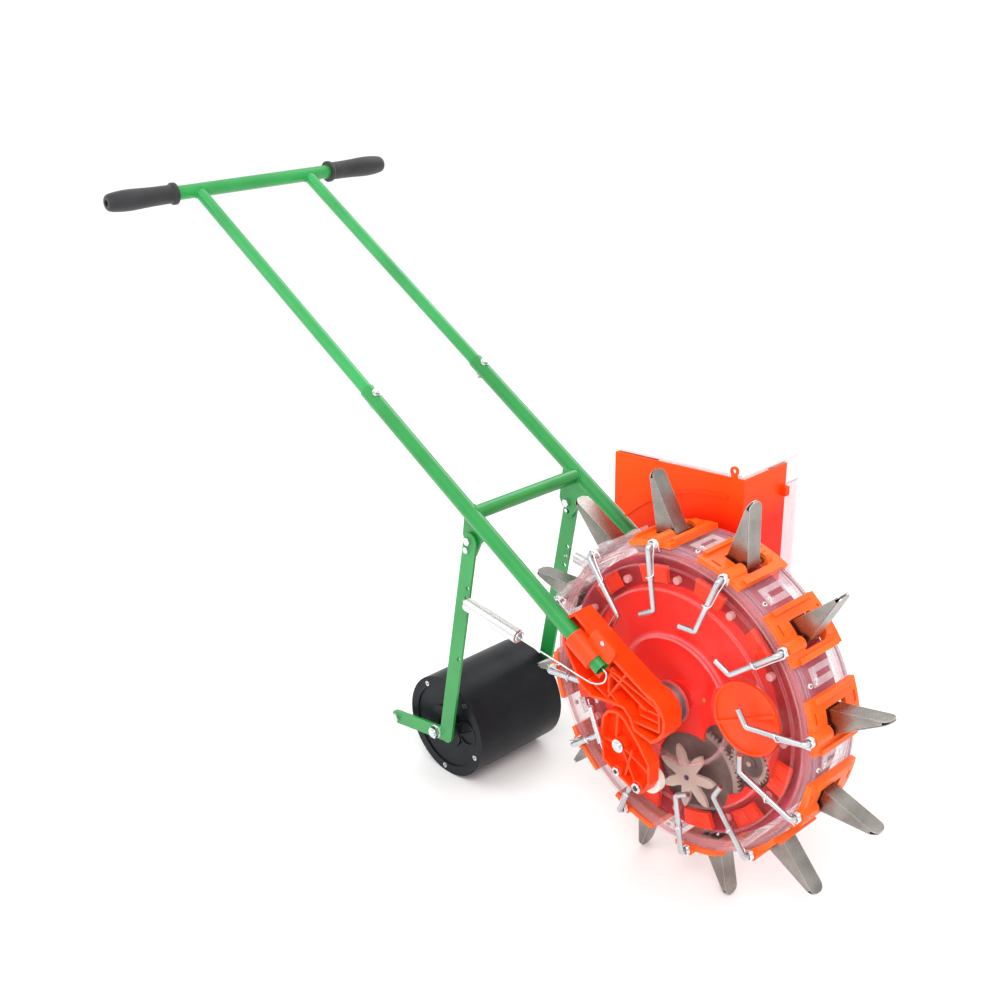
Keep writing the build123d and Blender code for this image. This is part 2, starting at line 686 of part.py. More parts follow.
def hopper_tank():
    shape = Polygon((-198, 244), (-198, 182), (-38, 90), (15, 90), (15, 244), align=None)
    body = slab(shape, HOPPER_Y1, TANK_Y1)
    body -= slab(offset(shape, -2.5), HOPPER_Y1, TANK_Y1 - 2.5)
    cut = Polygon((-195, 230), (-195, 300), (12, 300), (12, 230), align=None)
    body -= slab(cut, HOPPER_Y1, TANK_Y1 - 2.5)
    body += lid_rod(-166, -16, LID_PIN_R)
    for x in (-163, -91, -19):
        reach = LID_PIN_Y + 2 - TANK_Y1 + 1
        body += Pos(x, TANK_Y1 - 1 + reach / 2, LID_PIN_Z - 2) * Box(6, reach, 5)
    return body


def hopper_lid():
    """Clear lid over the tank and the shell's mouth, hinged along its outboard edge."""
    slope = math.degrees(math.atan2(17, 213))
    y0 = HOPPER_Y0 + 4
    lid = Pos(-91.5, (y0 + TANK_Y1) / 2, 266.9) * Rot(0, -slope, 0) * Box(205, TANK_Y1 - y0, 2.5)
    skirt_shape = Polygon((-198, 258), (-198, 245), (15, 245), (15, 275), align=None)
    inside = Polygon((-195.5, 255.4), (-195.5, 240), (12.5, 240), (12.5, 272.4), align=None)
    skirt = slab(skirt_shape, HOPPER_Y1 + 0.5, TANK_Y1) - slab(inside, HOPPER_Y1, TANK_Y1 - 2.5)
    lid += skirt
    for x0, x1 in ((-158, -96), (-86, -24)):
        lid += Pos((x0 + x1) / 2, TANK_Y1 + 1, LID_PIN_Z + 2.3) * Box(x1 - x0, 4, 2)
        lid += lid_rod(x0, x1, 3)
        lid -= lid_rod(x0, x1, LID_PIN_R + FIT)
    return lid


# ---------------------------------------------------------------- press wheel
def leg_hole(drop):
    """Centre of a hole in the leg, a distance down from its top and near its front edge."""
    run = Vector(LEG_CORNER[0] - LEG_START[0], LEG_CORNER[1] - LEG_START[1]).normalized()
    x = LEG_START[0] + run.X * drop - run.Y * LEG_HOLE_SIDE
    z = LEG_START[1] + run.Y * drop + run.X * LEG_HOLE_SIDE
    return (x, z)


def stop_centre():
    angle = math.radians(LEG_LEAN)
    return (LEG_TOP[0] - STOP_DROP * math.sin(angle), LEG_TOP[1] - STOP_DROP * math.cos(angle))


def leg(side):
    low = ROLLER_AT
    end = (low[0] - 95.7, low[1] - 18)
    y0 = LEG_Y - LEG_T / 2
    y1 = LEG_Y + LEG_T / 2
    shape = bar_between(LEG_START, LEG_CORNER, LEG_W, y0, y1)
    shape += bar_between(LEG_CORNER, end, LEG_W - 3, y0, y1)
    shape -= disc(4, y0, y1, *LEG_TOP)
    shape -= disc(3, y0, y1, *stop_centre())
    for drop in LEG_HOLES:
        shape -= disc(3.5, y0, y1, *leg_hole(drop))
    shape -= disc(ROLLER_AXLE_R, y0, y1, *low)
    shape -= disc(3.5, y0, y1, *end)
    return shape if side > 0 else mirror(shape, Plane.XZ)


def leg_fasteners():
    """Pivot bolts, stop bolts, axle nuts and the bolts at the rear ends of the legs."""
    low = ROLLER_AT
    end = (low[0] - 95.7, low[1] - 18)
    stop = stop_centre()
    out = LEG_Y + LEG_T / 2
    back = LEG_Y - LEG_T / 2 - 5.2
    parts = [
        disc(4, back, out, *LEG_TOP) + hexagon(11, out, out + 4, *LEG_TOP)
        + hexagon(11, back - 5, back, *LEG_TOP),
        disc(3, back, out, *stop) + hexagon(9, out, out + 4, *stop),
        hexagon(16, out + 1.5, out + 9, *low) + ring(10, ROLLER_AXLE_R, out, out + 1.5, *low)
        - disc(ROLLER_AXLE_R, out, out + 9, *low),
        disc(3.5, out - LEG_T, out, *end) + hexagon(12, out, out + 5, *end)
        + hexagon(12, out - LEG_T - 8, out - LEG_T, *end),
    ]
    return group(parts + [mirror(part, Plane.XZ) for part in parts])


def roller_axle():
    reach = LEG_Y + LEG_T / 2 + 11
    return disc(ROLLER_AXLE_R, -reach, reach, *ROLLER_AT)


def roller_shell():
    return ring(ROLLER_R, ROLLER_R - 4, -ROLLER_HALF, ROLLER_HALF, *ROLLER_AT)


def plug_centre():
    return (ROLLER_AT[0] + PLUG_AT[0], ROLLER_AT[1] + PLUG_AT[1])


def roller_end_caps():
    parts = []
    for side in (-1, 1):
        inner = ROLLER_HALF - 10
        cap = disc(ROLLER_R - 4, inner, ROLLER_HALF, *ROLLER_AT)
        cap -= ring(ROLLER_R - 15, 34, ROLLER_HALF - 2, ROLLER_HALF, *ROLLER_AT)
        cap += ring(34, 15, ROLLER_HALF, ROLLER_HALF + 1.5, *ROLLER_AT)
        cap -= disc(PLUG_R, ROLLER_HALF - 6, ROLLER_HALF + 2, *plug_centre())
        cap -= disc(15, ROLLER_HALF - 5, ROLLER_HALF + 2, *ROLLER_AT)
        cap -= disc(ROLLER_AXLE_R + FIT, inner - 1, ROLLER_HALF + 2, *ROLLER_AT)
        parts.append(cap if side > 0 else mirror(cap, Plane.XZ))
    return group(parts)


def roller_plugs():
    """Round plug let into each end cap, with a raised rim and a bar to turn it by."""
    x, z = plug_centre()
    plug = disc(PLUG_R, ROLLER_HALF - 6, ROLLER_HALF - 1.5, x, z)
    plug += ring(PLUG_R, PLUG_R - 3, ROLLER_HALF - 1.5, ROLLER_HALF + 0.5, x, z)
    plug += slab(Pos(x, z) * Rot(0, 0, 30) * Rectangle(2 * PLUG_R - 6, 4), ROLLER_HALF - 1.5, ROLLER_HALF)
    return group([plug, mirror(plug, Plane.XZ)])


def end_cap_screws():
    parts = []
    for index in range(5):
        x, z = polar(70, 51 + 72 * index)
        screw = disc(4, ROLLER_HALF, ROLLER_HALF + 1.8, ROLLER_AT[0] + x, ROLLER_AT[1] + z)
        parts.append(screw)
        parts.append(mirror(screw, Plane.XZ))
    return group(parts)


def press_spring(side):
    """Tension spring from a hole in the leg to the lower end of the handle tube."""
    y = LEG_Y + 10
    hole_x, hole_z = leg_hole(LEG_HOLES[1])
    start = Vector(hole_x, y, hole_z)
    body_end = Vector(-213, y, 34)
    finish = Vector(-78, y, 23)
    run = (body_end - start).normalized()
    tail_run = (finish - body_end).normalized()
    coil = cylinder_from(Plane(origin=start + run * 10, z_dir=run), 10, (body_end - start).length - 10)
    tail_plane = Plane(origin=body_end - tail_run * 4, z_dir=tail_run)
    tail = cylinder_from(tail_plane, 1.2, (finish - body_end).length + 4)
    link = cylinder_from(Plane(origin=start, z_dir=run), 1.2, 14)
    hook = cylinder_from(Plane(origin=start + Vector(0, -8, 0), z_dir=(0, 1, 0)), 1.2, 8)
    knot = Pos(start.X, start.Y, start.Z) * Sphere(2)
    shape = coil + tail + link + hook + knot
    return shape if side > 0 else mirror(shape, Plane.XZ)


os.makedirs("parts", exist_ok=True)

one_base = nozzle_base()
base_shapes = [turned(one_base, FIRST_TIP + 30 * index) for index in range(BEAKS)]
orange = [shape for index, shape in enumerate(base_shapes) if index not in CLEAR_BASES]
clear = [base_shapes[index] for index in CLEAR_BASES]
one_beak = fixed_beak()
opener = beak_opener()

NODES = {
    "handle_bar": handle_bar(),
    "grips": group([grip(-1), grip(1)]),
    "upper_tubes": group([upper_tube(-1), upper_tube(1)]),
    "handle_bolts": handle_bolts(),
    "lower_tubes": group([lower_tube(-1), lower_tube(1)]),
    "brace_tube": brace_tube(),
    "leg_tabs": leg_tabs(),
    "side_arm_right": side_arm(-1),
    "side_arm_left": side_arm(1),
    "tube_clamps": tube_clamps(),
    "arm_fasteners": arm_fasteners(),
    "axle": axle(),
    "hub_collars": hub_collars(),
    "trip_bracket": trip_bracket(),
    "trip_fasteners": trip_fasteners(),
    "trip_roller": trip_roller(),
    "trip_spring": trip_spring(),
    "seed_case": seed_case(),
    "star_wheel": star_wheel(),
    "star_gear": star_gear(),
    "feed_gear": feed_gear(),
    "drum_cover_right": drum_cover_right(),
    "drum_cover_left": drum_cover_left(),
    "drum_rim": drum_rim(),
    "nozzle_bases_orange": group(orange),
    "nozzle_bases_clear": group(clear),
    "fixed_beaks": group([turned(one_beak, FIRST_TIP + 30 * index) for index in range(BEAKS)]),
    "seed_cups": seed_cups(),
    "drive_pegs": drive_pegs(),
    "metering_slides": metering_slides(),
    "rim_screws": rim_screws(),
    "return_springs": return_springs(),
    "cleanout_cap": cleanout_cap(),
    "hopper_shell": hopper_shell(),
    "hopper_tank": hopper_tank(),
    "hopper_lid": hopper_lid(),
    "leg_right": leg(-1),
    "leg_left": leg(1),
    "leg_fasteners": leg_fasteners(),
    "roller_axle": roller_axle(),
    "roller_shell": roller_shell(),
    "roller_end_caps": roller_end_caps(),
    "roller_plugs": roller_plugs(),
    "end_cap_screws": end_cap_screws(),
    "press_spring_right": press_spring(-1),
    "press_spring_left": press_spring(1),
}

for index in range(BEAKS):
    shapes = [turned(shape, FIRST_TIP + 30 * index) for shape in opener]
    NODES["beak_opener_{:02d}".format(index + 1)] = group(shapes)

for name, shape in NODES.items():
    export(name, shape)
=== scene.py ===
import bpy
import math
from mathutils import Matrix, Vector


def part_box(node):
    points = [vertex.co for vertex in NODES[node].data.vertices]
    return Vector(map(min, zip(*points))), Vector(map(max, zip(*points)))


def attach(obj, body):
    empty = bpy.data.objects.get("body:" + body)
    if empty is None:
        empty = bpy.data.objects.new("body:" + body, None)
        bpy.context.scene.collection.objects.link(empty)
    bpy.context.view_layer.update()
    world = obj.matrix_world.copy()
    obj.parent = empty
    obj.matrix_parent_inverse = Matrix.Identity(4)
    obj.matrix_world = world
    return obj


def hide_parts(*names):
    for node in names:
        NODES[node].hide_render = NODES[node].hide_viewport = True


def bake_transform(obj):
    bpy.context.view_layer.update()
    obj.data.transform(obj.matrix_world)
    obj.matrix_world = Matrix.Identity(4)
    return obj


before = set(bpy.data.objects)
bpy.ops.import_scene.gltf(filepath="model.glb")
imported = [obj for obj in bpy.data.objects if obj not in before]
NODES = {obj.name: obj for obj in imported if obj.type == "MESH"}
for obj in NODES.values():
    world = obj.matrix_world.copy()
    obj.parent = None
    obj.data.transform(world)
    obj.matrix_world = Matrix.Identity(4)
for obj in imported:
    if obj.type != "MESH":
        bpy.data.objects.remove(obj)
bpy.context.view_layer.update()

# The axle is the natural centre for everything on the beak wheel.
_lo, _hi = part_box("axle")
AXLE = Vector(((_lo[0] + _hi[0]) / 2, 0.0, (_lo[2] + _hi[2]) / 2))
STAR = AXLE + Vector((0.0220, 0.0, -0.1080))
FEED = STAR + Vector((0.08274, 0.0, 0.05251))

BEAKS = 12
BEAK_PITCH = 30.0
FIRST_TIP = 15.0
MM = 0.001


# ------------------------------------------------------------------ materials
class Mat:
    """Small helper that builds one node material on the Principled shader."""

    def __init__(self, name, **sockets):
        self.mat = bpy.data.materials.new(name)
        self.mat.use_nodes = True
        self.tree = self.mat.node_tree
        self.bsdf = self.tree.nodes["Principled BSDF"]
        for key, value in sockets.items():
            self.bsdf.inputs[key.replace("_", " ")].default_value = value
        self.coord = self.tree.nodes.new("ShaderNodeTexCoord").outputs["Object"]
        self.normal = None

    def node(self, kind, **values):
        n = self.tree.nodes.new("ShaderNode" + kind)
        for key, value in values.items():
            if hasattr(n, key):
                setattr(n, key, value)
            else:
                n.inputs[key.replace("_", " ")].default_value = value
        return n

    def link(self, a, b):
        self.tree.links.new(a, b)

    def noise(self, scale, detail=4.0, roughness=0.55, stretch=None):
        n = self.node("TexNoise", Scale=scale, Detail=detail, Roughness=roughness)
        source = self.coord
        if stretch:
            mapping = self.node("Mapping")
            mapping.inputs["Scale"].default_value = stretch
            self.link(self.coord, mapping.inputs["Vector"])
            source = mapping.outputs[0]
        self.link(source, n.inputs["Vector"])
        return n.outputs["Fac"]

    def ramp(self, fac, stops):
        n = self.node("ValToRGB")
        ramp = n.color_ramp
        while len(ramp.elements) < len(stops):
            ramp.elements.new(0.5)
        for element, (pos, colour) in zip(ramp.elements, stops):
            element.position = pos
            element.color = tuple(colour) + (1.0,) if len(colour) == 3 else colour
        self.link(fac, n.inputs["Fac"])
        return n.outputs["Color"]

    def radius(self, centre=None):
        """Distance from the wheel's axis, or from another line along the axle, in metres."""
        shift = self.node("VectorMath", operation="SUBTRACT")
        self.link(self.coord, shift.inputs[0])
        shift.inputs[1].default_value = centre or AXLE
        flat = self.node("VectorMath", operation="MULTIPLY")
        self.link(shift.outputs[0], flat.inputs[0])
        flat.inputs[1].default_value = (1, 0, 1)
        size = self.node("VectorMath", operation="LENGTH")
        self.link(flat.outputs[0], size.inputs[0])
        return size.outputs["Value"]

    def along_axle(self):
        split = self.node("SeparateXYZ")
        self.link(self.coord, split.inputs[0])
        return split.outputs["Y"]

    def scaled(self, value, from_max, to_min=0.0, to_max=1.0, from_min=0.0):
        n = self.node("MapRange")
        n.inputs["From Min"].default_value = from_min
        n.inputs["From Max"].default_value = from_max
        n.inputs["To Min"].default_value = to_min
        n.inputs["To Max"].default_value = to_max
        self.link(value, n.inputs["Value"])
        return n.outputs[0]

    def rising(self, value, low, high):
        """Zero up to low, one from high on."""
        return self.scaled(value, high, 0.0, 1.0, low)

    def falling(self, value, low, high):
        """One up to low, zero from high on."""
        return self.scaled(value, high, 1.0, 0.0, low)

    def math(self, operation, a, b):
        n = self.node("Math", operation=operation)
        self.link(a, n.inputs[0])
        if isinstance(b, (int, float)):
            n.inputs[1].default_value = b
        else:
            self.link(b, n.inputs[1])
        return n.outputs[0]

    def blended(self, a, b, fac, mode="MIX"):
        n = self.node("Mix", data_type="RGBA", blend_type=mode)
        if isinstance(fac, float):
            n.inputs["Factor"].default_value = fac
        else:
            self.link(fac, n.inputs["Factor"])
        self.link(a, n.inputs[6])
        self.link(b, n.inputs[7])
        return n.outputs[2]

    def colour(self, output):
        self.link(output, self.bsdf.inputs["Base Color"])
        return self

    def rough(self, fac, low, high):
        n = self.node("MapRange")
        n.inputs["To Min"].default_value = low
        n.inputs["To Max"].default_value = high
        self.link(fac, n.inputs["Value"])
        self.link(n.outputs[0], self.bsdf.inputs["Roughness"])
        return self

    def bump(self, height, strength, distance):
        n = self.node("Bump", Strength=strength, Distance=distance)
        self.link(height, n.inputs["Height"])
        if self.normal is not None:
            self.link(self.normal, n.inputs["Normal"])
        self.normal = n.outputs["Normal"]
        self.link(self.normal, self.bsdf.inputs["Normal"])
        return self

    def edge_mask(self, amount=0.5, radius=0.0012):
        """One on sharp edges, from the difference of bevelled and true normals."""
        bevel = self.node("Bevel", samples=4)
        bevel.inputs["Radius"].default_value = radius
        geometry = self.node("NewGeometry")
        dot = self.node("VectorMath", operation="DOT_PRODUCT")
        self.link(bevel.outputs[0], dot.inputs[0])
        self.link(geometry.outputs["Normal"], dot.inputs[1])
        span = self.node("MapRange")
        span.inputs["From Min"].default_value = 1.0
        span.inputs["From Max"].default_value = 0.80
        span.inputs["To Max"].default_value = amount
        self.link(dot.outputs["Value"], span.inputs["Value"])
        return span.outputs[0]

    def edge_wear(self, base, worn, amount=0.5, radius=0.0012):
        mix = self.node("Mix", data_type="RGBA")
        self.link(self.edge_mask(amount, radius), mix.inputs["Factor"])
        self.link(base, mix.inputs[6])
        mix.inputs[7].default_value = tuple(worn) + (1.0,)
        return mix.outputs[2]


def paint(name, dark, light, worn):
    m = Mat(name, Metallic=0.0, Coat_Weight=0.25, Coat_Roughness=0.12, IOR=1.5)
    base = m.ramp(m.noise(9, 3), [(0.3, dark), (0.7, light)])
    m.colour(m.edge_wear(base, worn, 0.35))
    m.rough(m.noise(60, 4), 0.24, 0.40)
    m.bump(m.noise(420, 3), 0.10, 0.0004)
    return m.mat


def moulded(m, low, high):
    """Fine grain and slow waves of a moulded surface."""
    m.rough(m.noise(45, 5), low, high)
    m.bump(m.noise(900, 2), 0.12, 0.0002)
    m.bump(m.noise(24, 2), 0.25, 0.0006)
    return m.mat


def plastic(name, dark, light, low=0.28, high=0.42, worn=None, sss=0.0):
    m = Mat(name, IOR=1.36, Subsurface_Weight=sss)
    m.bsdf.inputs["Subsurface Radius"].default_value = (0.006, 0.002, 0.001)
    base = m.ramp(m.noise(14, 4), [(0.3, dark), (0.7, light)])
    m.colour(m.edge_wear(base, worn, 0.45) if worn else base)
    return moulded(m, low, high)


# Distance from the wheel's axis at which the covers' and the seed case's colour bands end.
DRUM_REACH = 0.21
HOPPER_REACH = 0.36

# Moulded rings of a wheel cover: place as a share of DRUM_REACH, and strength. The rings are real;
# drawn as denser, lighter lines of the cover's tint, they also carry a painted highlight.
RINGS = [
    (0.0, 0.0), (0.395, 0.0), (0.405, 1.0), (0.425, 0.2), (0.44, 0.0), (0.69, 0.0),
    (0.70, 0.9), (0.71, 0.0), (0.845, 0.0), (0.852, 0.8), (0.86, 0.0), (0.905, 0.1),
    (0.92, 1.0), (0.935, 0.3), (0.955, 1.0), (0.97, 0.3), (0.985, 1.0),
]

# Ridges round the clear rim: their pitch, and where across the rim they fade in.
RIDGE_PITCH = 0.0052
RIDGES_FROM = 0.016
RIDGES_TO = 0.046

# Dark pinkish grey on the clear plastic's edges and in the rim's grooves: painted dark refraction
# lines.
PAINTED_REFRACTION_DARK = (0.30, 0.13, 0.18)
MOST_OPAQUE = 0.95


def clear(name, tint, face, edge, low=0.05, high=0.14, ior=1.35, cloud=0.12,
          rings=False, ridges=False):
    """Thin clear plastic, see-through face on and denser at a glancing angle and on ridges, with
    painted dark refraction lines on its edges and in the rim's grooves.
    """
    m = Mat(name, IOR=ior)
    dark = [c * 0.9 for c in tint]
    base = m.ramp(m.noise(11, 3), [(0.3, dark), (0.7, tint)])
    m.rough(m.noise(30, 4), low, high)
    glance = m.node("LayerWeight", Blend=0.30).outputs["Facing"]
    alpha = m.scaled(m.math("POWER", glance, 2.2), 1.0, face, edge)
    streak = m.scaled(m.noise(26, 3, stretch=(1, 3, 1)), 0.72, 0.0, cloud, 0.5)
    alpha = m.math("ADD", alpha, streak)
    if ridges:
        across = m.along_axle()
        wave = m.math("SINE", m.math("MULTIPLY", across, 2 * math.pi / RIDGE_PITCH), 0.0)
        crest = m.rising(wave, 0.35, 1.0)
        outer = m.rising(m.math("ABSOLUTE", across, 0.0), RIDGES_FROM, RIDGES_TO)
        crest = m.math("MULTIPLY", crest, outer)
        alpha = m.math("ADD", alpha, m.scaled(crest, 1.0, 0.0, 0.42))
        m.bump(crest, 0.7, 0.0012)
        # Painted dark refraction lines in the grooves.
        groove = m.rising(m.math("MULTIPLY", wave, -1.0), 0.45, 1.0)
        groove = m.math("MULTIPLY", groove, outer)
        alpha = m.math("ADD", alpha, m.scaled(groove, 1.0, 0.0, 0.45))
        line = m.ramp(groove, [(0.0, PAINTED_REFRACTION_DARK), (1.0, PAINTED_REFRACTION_DARK)])
        base = m.blended(base, line, groove)
    if rings:
        # Real moulded rings, drawn denser in the cover's tint: a painted highlight along them.
        stops = [(place, (value, value, value)) for place, value in RINGS]
        lines = m.ramp(m.scaled(m.radius(), DRUM_REACH), stops)
        alpha = m.math("ADD", alpha, m.scaled(lines, 1.0, 0.0, 0.26))
        m.bump(lines, 0.6, 0.0015)
    # Painted dark refraction lines, denser, on sharp edges.
    corner = m.edge_mask(0.7, 0.0016)
    alpha = m.math("ADD", alpha, m.scaled(corner, 1.0, 0.0, 0.5))
    line = m.ramp(corner, [(0.0, PAINTED_REFRACTION_DARK), (1.0, PAINTED_REFRACTION_DARK)])
    m.colour(m.blended(base, line, corner))
    m.bump(m.noise(35, 2), 0.18, 0.0006)
    m.link(m.math("MINIMUM", alpha, MOST_OPAQUE), m.bsdf.inputs["Alpha"])
    return m.mat


def banded(name, stops, reach, inside_shade=None):
    """Plastic whose colour changes with distance from the wheel's axis, as its steps do: the darker
    bands are painted shade over the recessed steps.
    """
    m = Mat(name, IOR=1.22)
    base = m.ramp(m.scaled(m.radius(), reach), stops)
    if inside_shade:
        # Painted shade, on only the faces within the seed case: behind its front, within its wall,
        # before its back.
        across = m.along_axle()
        depth = m.rising(across, -0.0198, -0.0190)
        core = m.falling(m.radius(), 0.1830, 0.1835)
        shut = m.falling(across, 0.0405, 0.0415)
        hidden = m.math("MULTIPLY", m.math("MULTIPLY", depth, core), shut)
        painted_inside_shade = m.ramp(m.noise(30, 4), [(0.3, inside_shade), (0.7, [1.5 * c for c in inside_shade])])
        base = m.blended(base, painted_inside_shade, hidden)
    shade = m.ramp(m.noise(14, 4), [(0.3, (0.95, 0.95, 0.95)), (0.7, (1, 1, 1))])
    m.colour(m.blended(base, shade, 1.0, "MULTIPLY"))
    return moulded(m, 0.28, 0.42)


def steel(name, dark, light, low, high):
    m = Mat(name, Metallic=1.0)
    base = m.ramp(m.noise(18, 5), [(0.25, dark), (0.75, light)])
    m.colour(m.edge_wear(base, [min(1.0, c * 1.25) for c in light], 0.6))
    m.rough(m.noise(80, 5), low, high)
    m.bump(m.noise(320, 3), 0.10, 0.0003)
    return m.mat


# Direction of the brush marks on the beaks, as a stretch of the noise.
BRUSHED = (6, 6, 60)


def beak_steel(name):
    """Dull pressed sheet, stained toward its base; the rods outside the cover are plain zinc."""
    m = Mat(name, Metallic=1.0)
    sheet = m.ramp(m.noise(18, 5), [(0.25, (0.17, 0.155, 0.14)), (0.75, (0.44, 0.41, 0.38))])
    base = m.falling(m.radius(), 0.206, 0.240)
    stain = m.math("MULTIPLY", base, m.scaled(m.noise(55, 4), 0.62, 0.25, 0.85, 0.38))
    brown = m.ramp(m.noise(40, 3), [(0.3, (0.10, 0.06, 0.05)), (0.7, (0.22, 0.13, 0.11))])
    sheet = m.blended(sheet, brown, stain)
    zinc = m.ramp(m.noise(22, 5), [(0.25, (0.44, 0.46, 0.49)), (0.75, (0.70, 0.72, 0.75))])
    outside = m.falling(m.along_axle(), -0.0425, -0.0415)
    m.colour(m.edge_wear(m.blended(sheet, zinc, outside), (0.85, 0.84, 0.82), 0.6))
    m.rough(m.noise(40, 5, stretch=BRUSHED), 0.18, 0.38)
    m.bump(m.noise(160, 3, stretch=BRUSHED), 0.10, 0.0003)
    return m.mat


def toothed(name, centre, web):
    """Moulded gear with painted shade darkening its recessed web, which ends at that distance from
    its centre.
    """
    m = Mat(name, IOR=1.36)
    teeth = m.ramp(m.noise(20, 4), [(0.3, (0.24, 0.165, 0.145)), (0.7, (0.42, 0.31, 0.275))])
    web_shade = m.ramp(m.noise(34, 5), [(0.35, (0.060, 0.038, 0.034)), (0.7, (0.20, 0.13, 0.11))])
    within = m.scaled(m.radius(centre), web, 0.9, 0.0, web - 0.002)
    m.colour(m.blended(teeth, web_shade, within))
    m.rough(m.noise(45, 5), 0.4, 0.55)
    m.bump(m.noise(700, 2), 0.12, 0.0002)
    return m.mat


def rubber(name, colour, light, low=0.5, high=0.68, ior=1.5, sheen=0.15):
    m = Mat(name, IOR=ior, Sheen_Weight=sheen)
    m.colour(m.ramp(m.noise(26, 5), [(0.3, colour), (0.75, light)]))
    m.rough(m.noise(50, 4), low, high)
    m.bump(m.noise(650, 4), 0.25, 0.0004)
    return m.mat


# Hopper shell colours: the deep red near the wheel is painted shade in its circular recess, grading
# to brighter orange further out.
HOPPER_BANDS_WITH_RECESS_SHADE = [
    (0.0, (0.95, 0.012, 0.002)), (0.57, (0.98, 0.018, 0.003)), (0.62, (1.0, 0.044, 0.004)),
    (0.70, (1.0, 0.072, 0.006)), (1.0, (1.0, 0.110, 0.010)),
]
# Seed case colours: the dark red bands from 0.72 to 0.86 are painted shade over the recessed ring
# beyond the dome; the outermost band is the wall's own colour.
CASE_BANDS_WITH_RECESS_SHADE = [
    (0.0, (0.96, 0.016, 0.006)), (0.40, (0.98, 0.014, 0.006)), (0.42, (1.0, 0.030, 0.020)),
    (0.705, (0.97, 0.030, 0.018)), (0.72, (0.42, 0.016, 0.020)), (0.86, (0.34, 0.014, 0.020)),
    (0.885, (0.52, 0.020, 0.060)), (1.0, (0.50, 0.020, 0.060)),
]

MATS = {
    "green": paint("green_paint", (0.008, 0.240, 0.040), (0.014, 0.330, 0.062),
                   (0.10, 0.60, 0.20)),
    "pale_green": paint("pale_green_paint", (0.014, 0.290, 0.058), (0.024, 0.390, 0.090),
                        (0.15, 0.65, 0.26)),
    "rubber": rubber("black_rubber", (0.010, 0.010, 0.012), (0.022, 0.022, 0.025)),
    "black": rubber("black_plastic", (0.006, 0.007, 0.009), (0.014, 0.015, 0.019),
                    0.30, 0.45, 1.24, 0.0),
    "orange": plastic("orange_plastic", (0.96, 0.046, 0.003), (1.0, 0.074, 0.006),
                      worn=(1.0, 0.20, 0.04)),
    "base": plastic("base_orange", (0.96, 0.110, 0.006), (1.0, 0.165, 0.014),
                    worn=(1.0, 0.34, 0.08)),
    "cup": plastic("cup_orange", (1.0, 0.030, 0.003), (1.0, 0.048, 0.006),
                   worn=(1.0, 0.12, 0.03)),
    "hopper": banded("hopper_orange", HOPPER_BANDS_WITH_RECESS_SHADE, HOPPER_REACH),
    # The seed case carries painted shade on its recessed ring and on its inside faces.
    "red": banded("red_plastic", CASE_BANDS_WITH_RECESS_SHADE, DRUM_REACH, inside_shade=(0.110, 0.055, 0.045)),
    "cover": clear("clear_cover", (1.0, 0.52, 0.53), 0.004, 0.22, ior=1.14, cloud=0.035,
                   rings=True),
    "rim": clear("clear_rim", (0.90, 0.64, 0.72), 0.06, 0.50, cloud=0.10, ridges=True),
    "white_clear": clear("clear_white", (0.98, 0.93, 0.95), 0.20, 0.65, 0.08, 0.2),
    "tank": clear("clear_tank", (1.0, 0.84, 0.88), 0.30, 0.70, 0.06, 0.16),
    "lid": clear("clear_lid", (1.0, 0.97, 0.98), 0.72, 0.90, 0.06, 0.16),
    "pink": plastic("pink_plastic", (0.62, 0.24, 0.24), (0.78, 0.38, 0.37), 0.25, 0.4, sss=0.1),
    "gear": plastic("gear_plastic", (0.50, 0.38, 0.32), (0.64, 0.51, 0.44), 0.35, 0.5, sss=0.1),
    "star_gear": toothed("star_gear_plastic", STAR, 0.0605),
    "feed_gear": toothed("feed_gear_plastic", FEED, 0.0205),
    "hub": steel("hub_zinc", (0.62, 0.56, 0.58), (0.88, 0.82, 0.85), 0.30, 0.45),
    "white": plastic("white_plastic", (0.78, 0.76, 0.70), (0.90, 0.88, 0.83), 0.3, 0.45, sss=0.1),
    "ink": plastic("white_mark", (0.88, 0.86, 0.88), (0.95, 0.94, 0.95), 0.4, 0.5),
    "blue": plastic("dark_blue_cap", (0.010, 0.012, 0.060), (0.020, 0.025, 0.110), 0.3, 0.4),
    # Near-black for the screw recesses and the nuts' middles: painted shade.
    "dark": rubber("painted_recess_shade", (0.015, 0.015, 0.017), (0.035, 0.035, 0.040)),
    "beak": beak_steel("beak_steel"),
    "zinc": steel("zinc_plate", (0.52, 0.53, 0.54), (0.80, 0.81, 0.82), 0.18, 0.36),
    "bright": steel("bright_zinc", (0.78, 0.79, 0.80), (0.96, 0.96, 0.97), 0.22, 0.34),
}

